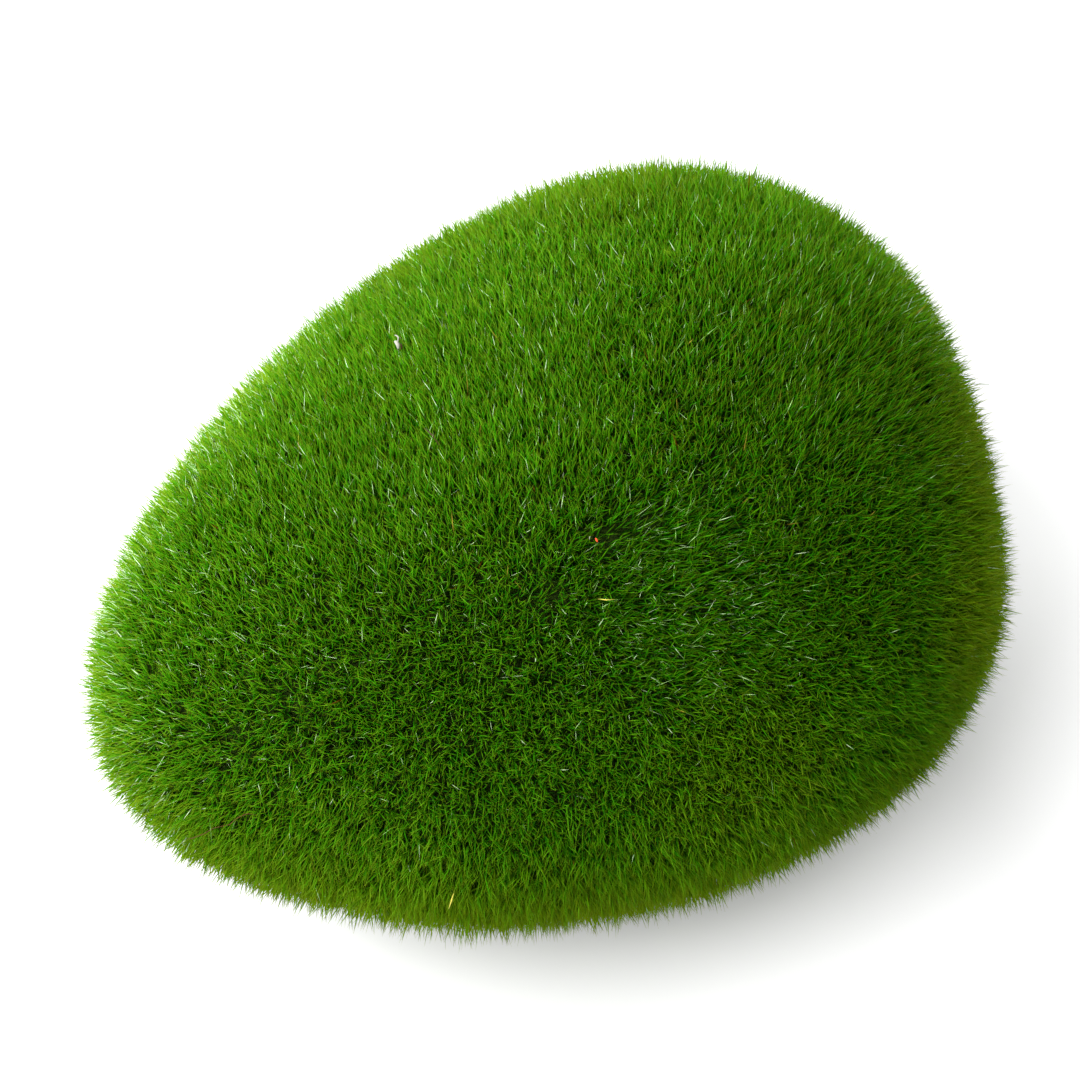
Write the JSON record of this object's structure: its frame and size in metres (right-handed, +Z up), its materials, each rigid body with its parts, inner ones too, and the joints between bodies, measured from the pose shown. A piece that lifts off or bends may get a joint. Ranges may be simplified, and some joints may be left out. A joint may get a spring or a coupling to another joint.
{
  "type": "artificial moss stone",
  "caption": "Egg-shaped decorative pebble covered all over in dense, short, upright green flock moss, with a flat pressed spot to rest on.",
  "frame": {"origin": "middle of the overall footprint, on the surface that the stone rests on", "axes": "+X along the long axis towards the plump end, +Y across, +Z up"},
  "size_m": [0.1, 0.0826, 0.0575],
  "materials": {
    "moss_flock": "dense upright synthetic flock, saturated moss green with darker roots, paler tips and small bright glints"
  },
  "bodies": {
    "root": {"moss_stone": "moss_flock"}
  },
  "joints": []
}
